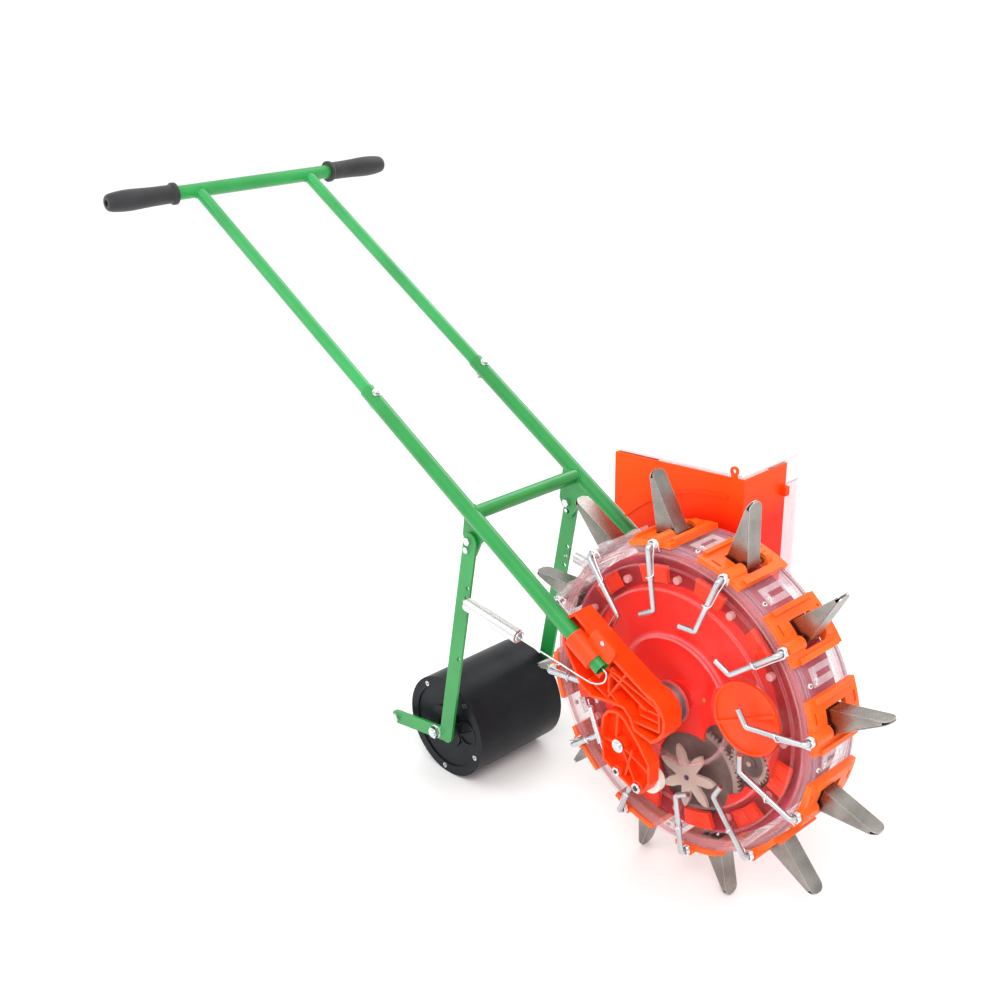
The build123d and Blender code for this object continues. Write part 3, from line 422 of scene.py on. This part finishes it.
LOOKS = {
    "handle_bar": "green", "grips": "rubber", "upper_tubes": "pale_green",
    "handle_bolts": "zinc", "lower_tubes": "green", "brace_tube": "green", "leg_tabs": "green",
    "hopper_shell": "hopper", "hopper_tank": "tank", "hopper_lid": "lid",
    "side_arm_right": "orange", "side_arm_left": "orange", "tube_clamps": "orange",
    "arm_fasteners": "zinc", "axle": "zinc", "hub_collars": "hub", "seed_case": "red",
    "drum_cover_right": "cover", "drum_cover_left": "cover", "drum_rim": "rim",
    "nozzle_bases_orange": "base", "nozzle_bases_clear": "white_clear", "fixed_beaks": "beak",
    "seed_cups": "cup", "drive_pegs": "pink", "metering_slides": "white_clear",
    "rim_screws": "white", "return_springs": "bright", "cleanout_cap": "orange",
    "star_wheel": "gear", "star_gear": "star_gear", "feed_gear": "feed_gear",
    "trip_bracket": "orange", "trip_roller": "white", "trip_fasteners": "zinc",
    "trip_spring": "zinc", "leg_right": "green", "leg_left": "green", "leg_fasteners": "zinc",
    "roller_axle": "zinc", "roller_shell": "black", "roller_end_caps": "black",
    "roller_plugs": "black", "end_cap_screws": "zinc",
    "press_spring_right": "zinc", "press_spring_left": "zinc",
}
for _index in range(BEAKS):
    LOOKS["beak_opener_{:02d}".format(_index + 1)] = "beak"

# Width of the rounded edges of each node, in millimetres.
BEVELS = {
    "side_arm_right": 0.9, "side_arm_left": 0.9, "tube_clamps": 0.9, "trip_bracket": 0.8,
    "nozzle_bases_orange": 0.6, "nozzle_bases_clear": 0.6, "seed_cups": 0.6, "cleanout_cap": 0.6,
    "leg_right": 0.5, "leg_left": 0.5, "leg_tabs": 0.5, "hopper_shell": 0.7, "hopper_tank": 0.7,
    "hopper_lid": 0.7, "fixed_beaks": 0.25, "star_wheel": 0.8, "seed_case": 0.7,
    "roller_end_caps": 0.8, "drum_cover_right": 0.5, "drum_cover_left": 0.5, "drum_rim": 0.4,
    "hub_collars": 0.5, "handle_bolts": 0.4, "arm_fasteners": 0.4, "leg_fasteners": 0.5,
    "metering_slides": 0.3, "roller_shell": 0.8,
}


def dress(obj, material):
    obj.data.materials.clear()
    obj.data.materials.append(material)


def bevelled(obj, width_mm):
    mod = obj.modifiers.new("edge", "BEVEL")
    mod.width = width_mm * MM
    mod.segments = 2
    mod.limit_method = "ANGLE"
    mod.angle_limit = math.radians(38)
    mod.use_clamp_overlap = True
    mod.harden_normals = False


for name, obj in NODES.items():
    dress(obj, MATS[LOOKS[name]])
    if name in BEVELS:
        bevelled(obj, BEVELS[name])


# ------------------------------------------------------------------ wires, welds and marks
def at(x, y, z):
    """Point given in millimetres from the axle."""
    return AXLE + Vector((x, y, z)) * MM


def on_wheel(r, t, y, index):
    """Point given in millimetres outward, round and along the axle from one beak's tip line."""
    angle = math.radians(FIRST_TIP + BEAK_PITCH * index)
    return at(r * math.cos(angle) - t * math.sin(angle), y,
              r * math.sin(angle) + t * math.cos(angle))


def piece(name, verts, faces, material):
    mesh = bpy.data.meshes.new(name)
    mesh.from_pydata([tuple(v) for v in verts], [], faces)
    mesh.update()
    obj = bpy.data.objects.new(name, mesh)
    bpy.context.scene.collection.objects.link(obj)
    for polygon in mesh.polygons:
        polygon.use_smooth = True
    dress(obj, MATS[material])
    return obj


class Shape:
    """Collects vertices and faces of several closed parts of one piece."""

    def __init__(self):
        self.verts = []
        self.faces = []

    def wire(self, points, radius_mm, sides=8, closed=False, lumps=0.0):
        """Round bar along the points, or a ring when closed; lumps makes it as uneven as a weld."""
        first = len(self.verts)
        count = len(points)
        normal = None
        for i, point in enumerate(points):
            before = points[i - 1] if closed or i else point
            after = points[(i + 1) % count] if closed or i + 1 < count else point
            along = (after - before).normalized()
            if normal is None:
                normal = along.orthogonal()
            normal = (normal - along * normal.dot(along)).normalized()
            side = along.cross(normal)
            swell = 1.0 + lumps * math.sin(2.6 * i) + 0.5 * lumps * math.sin(5.1 * i + 1.0)
            radius = radius_mm * MM * swell
            for k in range(sides):
                turn = 2 * math.pi * k / sides
                out = math.cos(turn) * normal + math.sin(turn) * side
                self.verts.append(point + radius * out)
        for i in range(count if closed else count - 1):
            a = first + i * sides
            b = first + ((i + 1) % count) * sides
            for k in range(sides):
                j = (k + 1) % sides
                self.faces.append((a + k, a + j, b + j, b + k))
        if not closed:
            self.faces.append(tuple(first + k for k in reversed(range(sides))))
            self.faces.append(tuple(first + (count - 1) * sides + k for k in range(sides)))

    def made(self, name, material):
        return piece(name, self.verts, self.faces, material)


def helix(start, end, radius_mm, turns, steps=14):
    axis = end - start
    run = axis.normalized()
    u = run.orthogonal().normalized()
    v = run.cross(u)
    points = []
    for i in range(int(turns * steps) + 1):
        angle = 2 * math.pi * i / steps
        out = radius_mm * MM * (math.cos(angle) * u + math.sin(angle) * v)
        points.append(start + axis * (i / (turns * steps)) + out)
    return points


def smooth(points, steps):
    """Points along a rounded curve that passes through the given ones."""
    ends = [points[0]] + list(points) + [points[-1]]
    curve = []
    for i in range(len(points) - 1):
        a, b, c, d = ends[i:i + 4]
        for k in range(steps):
            f = k / steps
            curve.append(0.5 * (2 * b + (c - a) * f + (2 * a - 5 * b + 4 * c - d) * f ** 2
                                + (3 * b - a - 3 * c + d) * f ** 3))
    return curve + [points[-1]]


# Handle tubes: how far each lies to its side, and the mouth at its lower end, as x and z.
TUBE_Y = 103.0
TUBE_MOUTH = (-66.7, 42.2)
DOWN_TUBE = Vector((0.8660, 0.0, -0.5))

# Press spring: the leg's hole and the end of the coil as x and z, then its sizes.
LEG_HOLE = (-326.2, 47.0)
LEG_Y = 99.0
SPRING_Y = 109.0
COIL_END = (-213.0, 34.0)
COIL_AFTER_HOOK = 12
PRESS_COIL_R = 8.8
PRESS_EYE_R = 6.0
PRESS_TURNS = 43
PRESS_HOOK_R = 1.1
PRESS_WIRE_R = 1.15
DRAWN_WIRE = [
    (-204.0, 109.0, 31.5), (-140.0, 111.0, 26.8), (-84.0, 113.0, 22.6),
    (-74.0, 111.5, 22.2), (-66.0, 109.0, 23.4), (-60.0, 106.0, 28.0),
]


def press_spring(side, name):
    """Close-wound coil hooked in the leg, with a drawn wire to the mouth of the handle tube."""
    hole = at(LEG_HOLE[0], side * LEG_Y, LEG_HOLE[1])
    beside = at(LEG_HOLE[0], side * SPRING_Y, LEG_HOLE[1])
    finish = at(COIL_END[0], side * SPRING_Y, COIL_END[1])
    run = (finish - beside).normalized()
    coil_start = beside + run * COIL_AFTER_HOOK * MM
    inward = Vector((0.0, -side, 0.0))
    shape = Shape()
    shape.wire([hole + inward * 5 * MM + Vector((0, 0, 3)) * MM, hole + inward * 4 * MM,
                hole - inward * 4 * MM, hole - inward * 8 * MM + run * MM,
                beside + run * 4 * MM, coil_start], PRESS_HOOK_R)
    shape.wire(helix(coil_start, finish, PRESS_COIL_R, PRESS_TURNS), PRESS_WIRE_R)
    eye = helix(finish + run * MM, finish + run * 2 * MM, PRESS_EYE_R, 1)
    mouth = at(TUBE_MOUTH[0], side * TUBE_Y, TUBE_MOUTH[1])
    drawn = [at(x, side * y, z) for x, y, z in DRAWN_WIRE]
    drawn += [mouth + DOWN_TUBE * 8 * MM + Vector((0, 0, -1)) * MM, mouth,
              mouth - DOWN_TUBE * 9 * MM]
    shape.wire(eye + smooth(drawn, 6), PRESS_WIRE_R)
    obj = shape.made(name + "_wire", "bright")
    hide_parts(name)
    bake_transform(obj)


# Trip spring: the middles of its two hooks, then its sizes.
TRIP_TOP = (-90.0, -104.0, -12.0)
TRIP_LOW = (-64.0, -104.0, -74.0)
TRIP_HOOK = 9
TRIP_COIL_R = 3.2
TRIP_TURNS = 26
TRIP_HOOK_R = 0.8
TRIP_WIRE_R = 0.75


def trip_spring():
    """Small coil with a hook at each end, from the side arm to the trip bracket."""
    top = at(*TRIP_TOP)
    low = at(*TRIP_LOW)
    run = (low - top).normalized()
    coil_top = top + run * TRIP_HOOK * MM
    coil_low = low - run * TRIP_HOOK * MM
    bent = Vector((0, 3.5, 0)) * MM
    shape = Shape()
    shape.wire([top + bent, top, top + run * 4 * MM, coil_top], TRIP_HOOK_R)
    shape.wire(helix(coil_top, coil_low, TRIP_COIL_R, TRIP_TURNS, 12), TRIP_WIRE_R)
    shape.wire([coil_low, low - run * 4 * MM, low, low + bent], TRIP_HOOK_R)
    obj = shape.made("trip_spring_wire", "bright")
    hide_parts("trip_spring")
    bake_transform(obj)


# A beak's pin, outward and round from its tip line, and the direction of its rod from there.
PIN_R = 209.1
PIN_T = -19.0
ROD = Vector((-0.9936, 0.1137))

# Return spring: its coil's ends along the axle, its sizes, its short end as offsets from the
# pin, and its long leg as distances along and beside the rod. The last number is along the axle.
RETURN_FROM = -53.2
RETURN_TO = -46.8
RETURN_COIL_R = 5.6
RETURN_WIRE_R = 0.95
SHORT_END_R = 0.9
LONG_LEG_R = 0.85
SHORT_END = [(3, -5.6, -46.9), (-5, -5.7, -47.0), (-10, -5.4, -46.0), (-10.5, -5.4, -43.2)]
LONG_LEG = [
    (-3, -6.2, -55.1), (6, -5.9, -55.3), (14, -5.3, -57.0), (36, -5.2, -59.0),
    (38.2, -5.2, -61.5), (38.6, -3.6, -63.9), (38.8, 0.0, -64.2), (39.0, 3.8, -63.6),
    (39.0, 5.4, -61.4),
]


def lever_point(along, aside, y, index):
    r = PIN_R + ROD.x * along - ROD.y * aside
    t = PIN_T + ROD.y * along + ROD.x * -aside
    return on_wheel(r, t, y, index)


def return_springs():
    """Coil round each pin's barrel, with a leg hooked over the rod that moves with the beak."""
    shape = Shape()
    for index in range(BEAKS):
        start = on_wheel(PIN_R, PIN_T, RETURN_FROM, index)
        end = on_wheel(PIN_R, PIN_T, RETURN_TO, index)
        shape.wire(helix(start, end, RETURN_COIL_R, 3, 18), RETURN_WIRE_R)
        shape.wire([on_wheel(PIN_R + r, PIN_T + t, y, index) for r, t, y in SHORT_END],
                   SHORT_END_R)
        leg = Shape()
        leg.wire([lever_point(along, aside, y, index) for along, aside, y in LONG_LEG],
                 LONG_LEG_R)
        obj = leg.made("spring_leg_{:02d}".format(index + 1), "bright")
        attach(obj, "opener_{:02d}".format(index + 1))
    obj = shape.made("return_coils", "bright")
    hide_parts("return_springs")
    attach(obj, "beak_wheel")


# Outline of the moulded figure, and where it and the screw stand: distance from the axis,
# degrees round from the tip line, and place along the axle.
DIGIT = [
    (-2.2, 1.6), (-2.0, 2.8), (-1.0, 3.6), (0.4, 3.7), (1.6, 3.1), (2.0, 2.0), (1.5, 0.8),
    (0.2, -0.6), (-1.3, -2.2), (-2.3, -3.5), (-0.4, -3.5), (2.3, -3.5),
]
DIGIT_R = 206.4
DIGIT_TURN = 11.4
DIGIT_Y = -12.5
DOT_FROM = 206.6
DOT_TO = 207.4
DOT_TURN = 11.0
DOT_Y = -25.0


def rim_marks():
    """The moulded figure beside each seed slide, and the dark middle of each small screw."""
    digits = Shape()
    dots = Shape()
    centre = math.radians(DIGIT_TURN)
    spot = math.radians(DOT_TURN)
    out = Vector((math.cos(spot), math.sin(spot)))
    for index in range(BEAKS):
        path = []
        for u, v in DIGIT:
            path.append(on_wheel(DIGIT_R * math.cos(centre) - v * math.sin(centre),
                                 DIGIT_R * math.sin(centre) + v * math.cos(centre),
                                 DIGIT_Y + u, index))
        digits.wire(path, 0.45, 6)
        dots.wire([on_wheel(DOT_FROM * out.x, DOT_FROM * out.y, DOT_Y, index),
                   on_wheel(DOT_TO * out.x, DOT_TO * out.y, DOT_Y, index)], 1.5, 16)
    for shape, name, material, slot in ((digits, "rim_digits", "ink", "white_plastic"),
                                        (dots, "screw_middles", "blue", "black_plastic")):
        obj = shape.made(name, material)
        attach(obj, "beak_wheel")


# Welds: how far up the tube the brace and the push bar are, the skin of the tube or bar that a
# bead lies on, and how far each bead is from the middle of the tube that it goes round.
SLOPE = 30.0
BRACE_AT = 277.5
BAR_AT = 998.0
SKIN_R = 11.2
BRACE_BEAD = 10.6
BAR_BEAD = 9.9


def welds():
    """Beads where the brace and the push bar are welded to the tubes."""
    slope = math.radians(SLOPE)
    along = Vector((-math.cos(slope), 0.0, math.sin(slope)))
    across = Vector((math.sin(slope), 0.0, math.cos(slope)))
    end = Vector((TUBE_MOUTH[0], 0.0, TUBE_MOUTH[1]))
    shape = Shape()
    for side in (-1, 1):
        brace = end + along * BRACE_AT
        path = []
        for i in range(40):
            turn = 2 * math.pi * i / 40
            off = along * BRACE_BEAD * math.cos(turn) + across * BRACE_BEAD * math.sin(turn)
            depth = math.sqrt(max(0.0, SKIN_R ** 2 - (BRACE_BEAD * math.sin(turn)) ** 2))
            p = brace + off
            path.append(at(p.x, side * (TUBE_Y - depth), p.z))
        shape.wire(path, 1.5, 8, True, 0.16)
        bar = end + along * BAR_AT
        path = []
        for i in range(36):
            turn = 2 * math.pi * i / 36
            y = BAR_BEAD * math.cos(turn)
            lift = BAR_BEAD * math.sin(turn)
            depth = math.sqrt(max(0.0, SKIN_R ** 2 - lift ** 2))
            p = bar - along * depth + across * lift
            path.append(at(p.x, side * TUBE_Y + y, p.z))
        shape.wire(path, 1.4, 8, True, 0.16)
    obj = shape.made("weld_beads", "green")
    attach(obj, "frame")


# The press roller's middle as x and z, and the circle of five screws in each of its ends.
ROLLER_AT = (-401.3, -201.0)
SCREW_CIRCLE = 70
FIRST_SCREW = 51
SCREW_PITCH = 72
SCREW_FACE = 84.75


def screw_crosses():
    """Cross recesses in the heads on the roller's ends, drawn as dark lines of painted shade."""
    shape = Shape()
    for side in (-1, 1):
        for index in range(5):
            angle = math.radians(FIRST_SCREW + SCREW_PITCH * index)
            x = ROLLER_AT[0] + SCREW_CIRCLE * math.cos(angle)
            z = ROLLER_AT[1] + SCREW_CIRCLE * math.sin(angle)
            for dx, dz in ((2.1, 1.2), (-1.2, 2.1)):
                shape.wire([at(x - dx, side * SCREW_FACE, z - dz),
                            at(x + dx, side * SCREW_FACE, z + dz)], 0.45, 6)
    obj = shape.made("screw_crosses", "dark")
    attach(obj, "press_roller")


PLUG_AT = (33.7, 6.4)


def case_plug():
    """Small stepped plug on the face of the seed case, beside the hub."""
    x, z = PLUG_AT
    shape = Shape()
    for back, front, radius in ((-24.0, -24.9, 3.0), (-24.9, -25.4, 2.2)):
        shape.wire([at(x, back, z), at(x, front, z)], radius, 24)
    obj = shape.made("case_plug", "base")
    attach(obj, "frame")


HEAD_R = 3.6
HEAD_LIFT = 0.9


def gear_pins():
    """Screw in the middle of the star wheel, and the cap on the feed gear's post."""
    out = Vector((0.0, -MM, 0.0))
    for name, centre, front, material, slot in (
            ("star_screw", STAR, 37.0, "blue", "black_plastic"),
            ("feed_cap", FEED, 20.5, "gear", "gear_plastic")):
        shape = Shape()
        shape.wire([centre + out * front, centre + out * (front + HEAD_LIFT)], HEAD_R, 24)
        obj = shape.made(name, material)
        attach(obj, "frame")


# Nuts of the trip bracket: x, z, the nut's front along the axle, and the radius of the painted
# shade over the bolt end.
TRIP_NUTS = ((-6.0, -106.0, -105.0, 3.7), (-41.0, -98.0, -104.0, 2.8))


def nut_middles():
    """Dark discs of painted shade in the middles of the two nuts of the trip bracket, over the bolt
    ends.
    """
    shape = Shape()
    for x, z, front, radius in TRIP_NUTS:
        shape.wire([at(x, front, z), at(x, front - 0.6, z)], radius, 20)
    obj = shape.made("nut_middles", "dark")
    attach(obj, "trip_bracket")


press_spring(-1, "press_spring_right")
press_spring(1, "press_spring_left")
case_plug()
gear_pins()
nut_middles()
trip_spring()
return_springs()
rim_marks()
welds()
screw_crosses()


# ------------------------------------------------------------------ stage
def floor():
    """Wide white floor, half a millimetre under the machine."""
    bpy.ops.mesh.primitive_plane_add(size=160, location=(0, 0, -0.0005))
    plane = bpy.context.object
    plane.name = "floor"
    m = Mat("floor_white", Roughness=0.8)
    m.colour(m.ramp(m.noise(2, 2), [(0.3, (0.95, 0.95, 0.95)), (0.7, (0.97, 0.97, 0.97))]))
    plane.data.materials.append(m.mat)


def area_light(name, place, target, size, energy):
    data = bpy.data.lights.new(name, "AREA")
    data.shape = "DISK"
    data.size = size
    data.energy = energy
    obj = bpy.data.objects.new(name, data)
    bpy.context.scene.collection.objects.link(obj)
    obj.location = place
    obj.rotation_euler = (Vector(target) - Vector(place)).to_track_quat("-Z", "Y").to_euler()


def studio():
    """Soft sky, brightest overhead and greyer low down so that metal shows some contrast."""
    world = bpy.data.worlds.new("studio")
    bpy.context.scene.world = world
    world.use_nodes = True
    tree = world.node_tree
    direction = tree.nodes.new("ShaderNodeTexCoord").outputs["Generated"]
    split = tree.nodes.new("ShaderNodeSeparateXYZ")
    ramp = tree.nodes.new("ShaderNodeValToRGB")
    stops = [(0.0, 0.62), (0.15, 0.76), (0.5, 1.0), (1.0, 1.0)]
    while len(ramp.color_ramp.elements) < len(stops):
        ramp.color_ramp.elements.new(0.5)
    for element, (place, value) in zip(ramp.color_ramp.elements, stops):
        element.position = place
        element.color = (value, value, value, 1.0)
    tree.links.new(direction, split.inputs[0])
    tree.links.new(split.outputs["Z"], ramp.inputs["Fac"])
    tree.links.new(ramp.outputs["Color"], tree.nodes["Background"].inputs[0])
    tree.nodes["Background"].inputs[1].default_value = 1.15
    middle = (0.0, 0.0, 0.35)
    area_light("key", (1.3, -1.4, 2.2), middle, 1.2, 26)
    area_light("fill", (-1.8, -1.6, 1.6), middle, 2.0, 8)
    area_light("back", (-0.6, 2.0, 2.2), middle, 1.6, 14)


def camera():
    """Standing in front of the machine's right side, looking back along the handle."""
    data = bpy.data.cameras.new("camera")
    data.lens = 47.68
    data.sensor_width = 36.0
    obj = bpy.data.objects.new("camera", data)
    bpy.context.scene.collection.objects.link(obj)
    place = Vector((0.91749, -1.18272, 0.87775)) + AXLE
    right = Vector((0.68323648, 0.73003193, -0.0155335))
    up = Vector((-0.26985587, 0.27221065, 0.92362285))
    back = Vector((0.67850256, -0.62686102, 0.38298765))
    matrix = Matrix((right, up, back)).transposed().to_4x4()
    matrix.translation = place
    obj.matrix_world = matrix
    bpy.context.scene.camera = obj


floor()
studio()
camera()
bpy.context.scene.view_settings.view_transform = "Standard"
